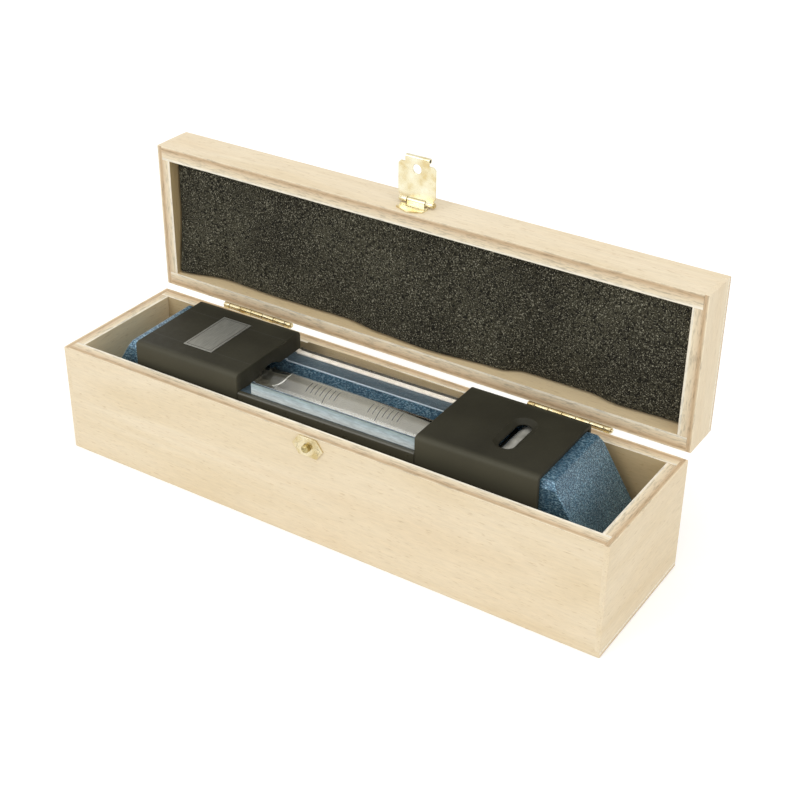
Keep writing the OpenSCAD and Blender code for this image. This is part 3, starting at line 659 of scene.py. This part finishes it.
# The tube is filled with clear spirit, faintly yellow, except for the bubble, a flat-bottomed
# pocket that lies at the left end because the case isn't level.
wet_r = bore_r + 0.00002
filling = bmesh.new()
turned_skin(filling, mirrored([(-tube_half + 0.0031, 0), (-tube_half + 0.0031, bore_r - 0.001),
                               (-tube_half + 0.004, wet_r)]), 96)
spirit = laid_in_level(filling, "vial_spirit", vial_middle)
smooth_but_for_rims(spirit)
spirit.data.materials.append(clear_finish("clear_spirit", tint(253, 252, 247), 1.36))
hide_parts("main_vial_liquid")
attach(spirit, "vial")
light_through(spirit)

bubble_long = 0.0182
bubble_r = 0.00652
bubble_half = 0.0053
bubble_sag = 0.0006
bubble_x = -0.0374
bubble_middle = vial_middle + Vector((bubble_x * math.cos(level_yaw), bubble_x * math.sin(level_yaw), 0.0))


def bubble_share(a):
    """The share of its full width that the bubble has at a, which runs from 0 at its left tip to
    pi at its right one."""
    return max(math.sin(a), 0.0) ** 0.55


def bubble_skin():
    """A long bubble: round on top where it presses on the glass, gently bowed below."""
    mesh = bmesh.new()
    rows = []
    steps, sides = 44, 14
    for k in range(steps + 1):
        a = math.pi * k / steps
        share = bubble_share(a)
        x = -math.cos(a) * bubble_long / 2
        width = bubble_half * share
        if share < 0.02:
            rows.append([mesh.verts.new((x, 0, bubble_r * 0.93))])
            continue
        top = [(-1 + 2 * n / sides) for n in range(sides + 1)]
        press = 1 - 0.06 * (1 - share)
        upper = [(width * t, math.sqrt(max(bubble_r ** 2 - (width * t) ** 2, 0)) * press) for t in top]
        rim = upper[0][1]
        lower = [(width * t, rim - bubble_sag * share * (1 - t * t)) for t in reversed(top[1:-1])]
        rows.append([mesh.verts.new((x, y, z)) for y, z in upper + lower])
    bridge(mesh, rows, 2 * sides)
    bmesh.ops.recalc_face_normals(mesh, faces=mesh.faces)
    bmesh.ops.reverse_faces(mesh, faces=mesh.faces)
    return mesh


bubble = laid_in_level(bubble_skin(), "main_vial_bubble", bubble_middle)
bubble.data.shade_smooth()
bubble.data.materials.append(clear_finish("bubble_wall", tint(240, 240, 232), 1.2, 0.04))
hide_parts("main_bubble")
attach(bubble, "bubble")
light_through(bubble)


# Where the spirit climbs the glass round each end of the bubble, it catches the light. That highlight is
# painted on as a pale crescent, which leans to the front and is thickest near its middle.
crescent_middle, crescent_reach = -0.2, 0.68
crescent_thin, crescent_swell = 0.00004, 0.00028


def crescent(mesh, end):
    """Draws the pale crescent of painted highlight round the bubble's left end, -1, or its right one, 1."""
    def outline(t):
        """A point round the bubble's end. t is 0 at the tip, less in front of it, more behind it."""
        a = math.pi - 0.33 * math.pi * abs(t)
        y = math.copysign(bubble_half * bubble_share(a), t)
        return Vector((-math.cos(a) * bubble_long / 2 * end, y, math.sqrt(bubble_r ** 2 - y ** 2)))

    rows = []
    steps, sides = 36, 8
    for k in range(steps + 1):
        share = -1 + 2 * k / steps
        t = crescent_middle + crescent_reach * share
        middle = outline(t)
        ahead = (outline(t + 0.01) - outline(t - 0.01)).normalized()
        outward = Vector((0.0, middle.y, middle.z)).normalized()
        across = ahead.cross(outward).normalized()
        swell = crescent_thin + crescent_swell * (1 - share * share) * (1 - 0.45 * share)
        ring = [(math.cos(b) * across + 0.3 * math.sin(b) * outward) * swell
                for b in (math.tau * n / sides for n in range(sides))]
        rows.append([mesh.verts.new(middle - 0.0001 * outward + off) for off in ring])
    bridge(mesh, rows, sides)
    mesh.faces.new(rows[0][::-1])
    mesh.faces.new(rows[-1])


highlight_mesh = bmesh.new()
for end in (-1, 1):
    crescent(highlight_mesh, end)
bmesh.ops.recalc_face_normals(highlight_mesh, faces=highlight_mesh.faces)
bubble_highlight = laid_in_level(highlight_mesh, "main_bubble_highlight", bubble_middle)
bubble_highlight.data.shade_smooth()
# The crescent is a painted highlight: an opaque pale skin where the meniscus catches the light.
meniscus_highlight_finish = two_toned("painted_meniscus_highlight", tint(238, 238, 230), 0.2, 600.0, 2.0, [
    (0.3, tint(226, 226, 217)), (0.7, tint(246, 246, 240))])
bubble_highlight.data.materials.append(meniscus_highlight_finish)
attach(bubble_highlight, "bubble")


# The cross vial is a short tube under the right cover. Its glass is milky, so that it shows
# bright in the reading slot, and it lies in a moulded saddle.
milk = two_toned("milky_cross_glass", tint(222, 222, 216), 0.16, 260.0, 3.0, [
    (0.3, tint(150, 148, 138)), (0.7, tint(190, 188, 178))], (0.00003, 0.4))
milk_shader = milk.node_tree.nodes["Principled BSDF"]
milk_shader.inputs["Coat Weight"].default_value = 1.0
milk_shader.inputs["Coat Roughness"].default_value = 0.03
dress("cross_vial", milk)
dress("cross_vial_plugs", milk)
dress("cross_vial_liquid", clear_finish("cross_vial_spirit", tint(246, 246, 232), 1.36))
dress("cross_bubble", clear_finish("cross_bubble_wall", tint(252, 252, 250), 1.1))
light_through(parts["cross_vial_liquid"], parts["cross_bubble"])


# Two moulded covers close the ends of the body, and two rails its sides under the window. All are satin
# black plastic with fine grain, screwed on through their skirts. Towards their long top edges the black is
# painted paler, a painted highlight along the rounding, and the left cover has two faint joint lines.
joint_off, joint_half = 0.0105, 0.00012
joint_low = 0.0461
sheen_from, sheen_to = 0.0165, 0.0192


def satin_black(name, shine, specular):
    finish, tree, shader = new_finish(name, tint(52, 50, 40), shine, specular=specular)
    spot = level_spot(tree)
    place = lay(tree, "SeparateXYZ", {0: spot})
    across = reckon(tree, "ABSOLUTE", place.outputs["Y"])
    tone = ramp(tree, mottle(tree, spot, 45.0), [(0.3, tint(46, 44, 35)), (0.7, tint(57, 55, 44))])
    # Painted highlight: paler towards the long top edges.
    edge_sheen = rescaled(tree, across, sheen_from, sheen_to, 0.0, 0.5)
    tone = blended(tree, edge_sheen, tone, tint(86, 83, 68))
    line = reckon(tree, "COMPARE", across, joint_off, joint_half)
    high = reckon(tree, "GREATER_THAN", place.outputs["Z"], joint_low)
    left = reckon(tree, "LESS_THAN", place.outputs["X"], 0.0)
    line = reckon(tree, "MULTIPLY", reckon(tree, "MULTIPLY", line, high), left)
    tone = blended(tree, reckon(tree, "MULTIPLY", line, 0.4), tone, tint(84, 83, 78))
    connect(tree, tone, shader, "Base Color")
    rub = mottle(tree, spot, 300.0, 4.0, 0.7)
    connect(tree, rescaled(tree, rub, 0.3, 0.7, shine - 0.04, shine + 0.12), shader, "Roughness")
    roughen(tree, shader, mottle(tree, spot, 2600.0), 0.00003, 0.5)
    return finish


cover_black = satin_black("satin_black_cover", 0.46, 0.14)
rail_black = satin_black("satin_black_rail", 0.28, 0.6)
dress("left_cover", cover_black, 0.0004, 3, screwed=True)
dress("right_cover", cover_black, 0.0004, 3, screwed=True)
dress("front_rail", rail_black, 0.00025, screwed=True)
dress("rear_rail", rail_black, 0.00025, screwed=True)
dress("cross_vial_saddle", cover_black, 0.0002)
dress("cover_screws", turned_steel)
dress("rail_screws", turned_steel)


# The window over the vial is one piece of clear acrylic with turned-down sides. It stands on two strips of
# seal between the covers and the rails, the rear one cream, the front one painted over with the body. The
# window's front side is overlaid with a pale, finely streaked matt tone, palest at its foot and darker
# towards its top: a painted reflection of the bright room.
seal_finish = two_toned("cream_silicone", tint(238, 228, 212), 0.42, 420.0, 3.0, [
    (0.3, tint(226, 214, 196)), (0.7, tint(246, 238, 224))], (0.00012, 0.5))
dress("front_window_seal", hammer_paint, 0.0002)
dress("rear_window_seal", seal_finish, 0.0002)

side_front = -0.0173            # the front side's wall lies in front of this
side_low, side_high = 0.0395, 0.0439


def window_finish():
    """Clear acrylic whose front side is overlaid with a matt, streaked painted reflection, pale at the foot
    and darker towards the top.
    """
    finish = clear_finish("clear_acrylic", tint(255, 255, 255), 1.03)
    tree = finish.node_tree
    shader = tree.nodes["Principled BSDF"]
    shader.inputs["Coat Weight"].default_value = 0.3
    spot = level_spot(tree)
    place = lay(tree, "SeparateXYZ", {0: spot})
    facing = lay(tree, "SeparateXYZ", {0: lay(tree, "TexCoord").outputs["Normal"]})
    forward = reckon(tree, "LESS_THAN", facing.outputs["Y"], -0.7)
    outer = reckon(tree, "LESS_THAN", place.outputs["Y"], side_front)
    rise = rescaled(tree, place.outputs["Z"], side_low, side_high)
    # Painted reflection: a pale tone over the front side, brightest at its foot and darker towards its top.
    shade = ramp(tree, rise, [
        (0.0, tint(218, 224, 220)), (0.3, tint(208, 219, 221)), (0.6, tint(190, 206, 212)),
        (0.85, tint(170, 190, 194)), (0.97, tint(144, 160, 158))])
    slant = lay(tree, "Mapping", {0: spot, "Rotation": (0.0, 0.6, 0.0), "Scale": (240.0, 900.0, 1500.0)})
    streaks = mottle(tree, slant, 1.0, 3.0, 0.7)
    streak_tone = ramp(tree, streaks, [(0.34, grey(0.78)), (0.5, grey(0.95)), (0.66, grey(1.15))])
    reflection_tone = blended(tree, 1.0, shade, streak_tone, "MULTIPLY")
    matt = lay(tree, "BsdfPrincipled", {"Base Color": reflection_tone, "Roughness": 0.4})
    amount = reckon(tree, "MULTIPLY", reckon(tree, "MULTIPLY", forward, outer), 0.94)
    overlaid = lay(tree, "MixShader", {0: amount, 1: shader, 2: matt})
    connect(tree, overlaid, tree.nodes["Material Output"], "Surface")
    return finish


dress("window", window_finish(), 0.00006)
light_through(parts["window"])


# A thin bare plate of satin metal is glued to the left cover, with a fine line rolled in
# round its edge.
plate_middle = {"X": -0.060, "Y": 0.0007}
plate_half = {"X": 0.00625, "Y": 0.012}
line_inset = 0.0009


def plate_finish():
    finish, tree, shader = new_finish("satin_plate_metal", tint(168, 168, 160), 0.42, metallic=0.75)
    spot = level_spot(tree)
    strokes = mottle(tree, lay(tree, "Mapping", {0: spot, "Scale": (6000.0, 260.0, 6000.0)}), 1.0, 3.0)
    tone = ramp(tree, strokes, [(0.3, tint(148, 148, 140)), (0.7, tint(184, 184, 176))])
    place = lay(tree, "SeparateXYZ", {0: spot})
    insets = []
    for axis in ("X", "Y"):
        off = reckon(tree, "SUBTRACT", place.outputs[axis], plate_middle[axis])
        insets.append(reckon(tree, "SUBTRACT", plate_half[axis], reckon(tree, "ABSOLUTE", off)))
    inset = reckon(tree, "MINIMUM", *insets)
    line = reckon(tree, "COMPARE", inset, line_inset, 0.00012)
    connect(tree, blended(tree, line, tone, tint(84, 84, 80)), shader, "Base Color")
    roughen(tree, shader, strokes, 0.00002, 0.5)
    return finish


dress("label_plate", plate_finish(), 0.00006)


# The set stands on a plain white table in a white room. Big soft lamps in front, above and at
# both sides, aimed at the set's middle, give an even light with hardly any shadow.
set_middle = Vector((0.0, 0.0, 0.04))


def seen_directly(tree):
    """1 where the camera looks, also in a shine or through something clear, and 0 for the light
    that only falls on other things."""
    ray = lay(tree, "LightPath")
    seen = reckon(tree, "MAXIMUM", ray.outputs["Is Camera Ray"], ray.outputs["Is Glossy Ray"])
    return reckon(tree, "MAXIMUM", seen, ray.outputs["Is Transmission Ray"])


def soft_lamp(name, place, size, power):
    lamp = bpy.data.lights.new(name, "AREA")
    lamp.shape = "DISK"
    lamp.size = size
    lamp.energy = power
    stand = bpy.data.objects.new(name, lamp)
    stand.location = place
    stand.rotation_euler = (set_middle - Vector(place)).to_track_quat("-Z", "Y").to_euler()
    bpy.context.scene.collection.objects.link(stand)


table_gap = 0.0001      # keeps the table and the case's underside out of one plane
table_mesh = bmesh.new()
bmesh.ops.create_grid(table_mesh, x_segments=2, y_segments=2, size=4.0)
table_top = placed(table_mesh, "white_table")
table_top.location.z = -table_gap
table_finish, table_tree, table_shader = new_finish("white_table", tint(244, 244, 243), 0.9, specular=0.0)
lift = reckon(table_tree, "MULTIPLY", seen_directly(table_tree), 0.22)
glow = lay(table_tree, "Emission", {"Color": (1.0, 1.0, 1.0, 1.0), "Strength": lift})
lit_table = lay(table_tree, "AddShader", {0: table_shader, 1: glow})
connect(table_tree, lit_table, table_tree.nodes["Material Output"], "Surface")
table_top.data.materials.append(table_finish)

room = bpy.data.worlds.new("white_room")
bpy.context.scene.world = room
room.use_nodes = True
backdrop = room.node_tree.nodes["Background"]
backdrop.inputs["Color"].default_value = (1.0, 1.0, 1.0, 1.0)
brightness = rescaled(room.node_tree, seen_directly(room.node_tree), 0.0, 1.0, 0.77, 1.0)
connect(room.node_tree, brightness, backdrop, "Strength")

soft_lamp("front_lamp", (-0.5, -1.1, 0.9), 0.9, 5.0)
soft_lamp("top_lamp", (0.35, -0.1, 1.3), 0.8, 3.0)
soft_lamp("right_lamp", (1.3, -0.35, 0.6), 0.8, 2.2)
soft_lamp("left_lamp", (-1.4, -0.1, 0.5), 0.7, 1.6)
